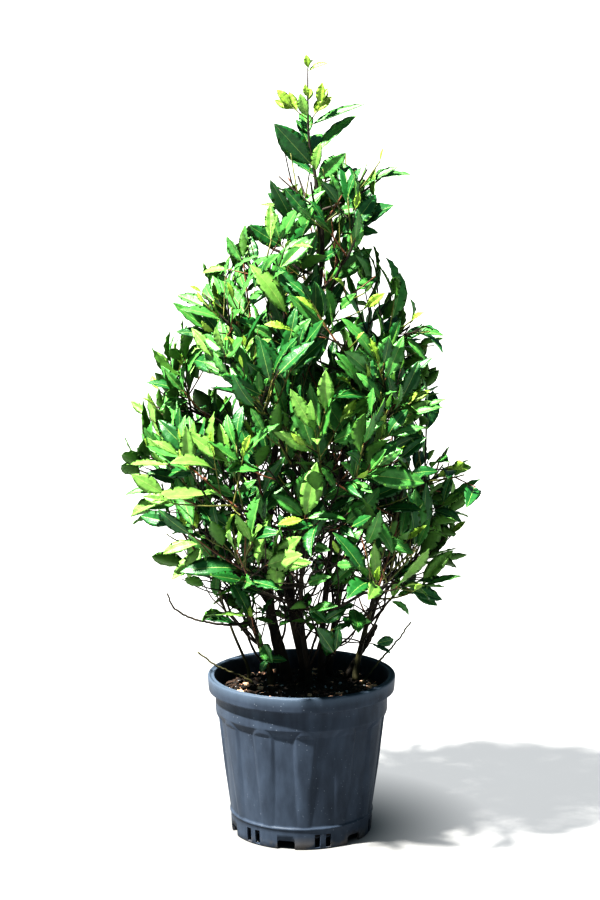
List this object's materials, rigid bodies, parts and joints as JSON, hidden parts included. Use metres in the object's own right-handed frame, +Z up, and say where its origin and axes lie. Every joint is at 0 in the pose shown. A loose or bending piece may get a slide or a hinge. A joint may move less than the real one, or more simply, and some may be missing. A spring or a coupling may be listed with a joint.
{
  "type": "potted bay laurel bush",
  "caption": "Evergreen bay laurel bush grown as a loose leafy pyramid from several stems, in a dark ribbed plastic nursery pot filled with soil.",
  "frame": {"origin": "middle of the pot's flat underside, on the ground", "axes": "+Z up, -Y towards the front of the plant, +X to its right"},
  "size_m": [0.5488, 0.5562, 1.2293],
  "materials": {
    "pot": "satin, dusty slate grey with pale scratches",
    "soil": "moist dark bark-based mix with chips and grit",
    "bark": "smooth grey-brown young bark",
    "leaves": "glossy leathery dark green, paler underneath"
  },
  "bodies": {
    "root": {"bough_high_2": "bark", "bough_high_3": "bark", "bough_high_4": "bark", "bough_high_5": "bark", "bough_low_5": "bark", "bough_middle_3": "bark", "bough_middle_4": "bark", "bough_middle_5": "bark", "bough_skirt_4": "bark", "bough_skirt_5": "bark", "bough_upper_2": "bark", "bough_upper_4": "bark", "branch_bare_left": "bark", "leaves_high_1": "leaves", "leaves_high_2": "leaves", "leaves_high_3": "leaves", "leaves_high_4": "leaves", "leaves_high_5": "leaves", "leaves_low_1": "leaves", "leaves_low_2": "leaves", "leaves_low_3": "leaves", "leaves_low_4": "leaves", "leaves_low_5": "leaves", "leaves_low_6": "leaves", "leaves_middle_1": "leaves", "leaves_middle_2": "leaves", "leaves_middle_3": "leaves", "leaves_middle_4": "leaves", "leaves_middle_5": "leaves", "leaves_skirt_1": "leaves", "leaves_skirt_2": "leaves", "leaves_skirt_3": "leaves", "leaves_skirt_4": "leaves", "leaves_skirt_5": "leaves", "leaves_tip": "leaves", "leaves_top_1": "leaves", "leaves_top_2": "leaves", "leaves_top_3": "leaves", "leaves_upper_1": "leaves", "leaves_upper_2": "leaves", "leaves_upper_3": "leaves", "leaves_upper_4": "leaves", "pot": "pot", "soil": "soil", "sprig_left": "bark", "stem_back_left": "bark", "stem_back_right": "bark", "stem_centre_right": "bark", "stem_front": "bark", "stem_leader": "bark", "stem_left": "bark", "stem_right": "bark", "stem_second": "bark", "stem_thin_left": "bark", "stub_right": "bark", "whip_right": "bark"}
  },
  "joints": []
}
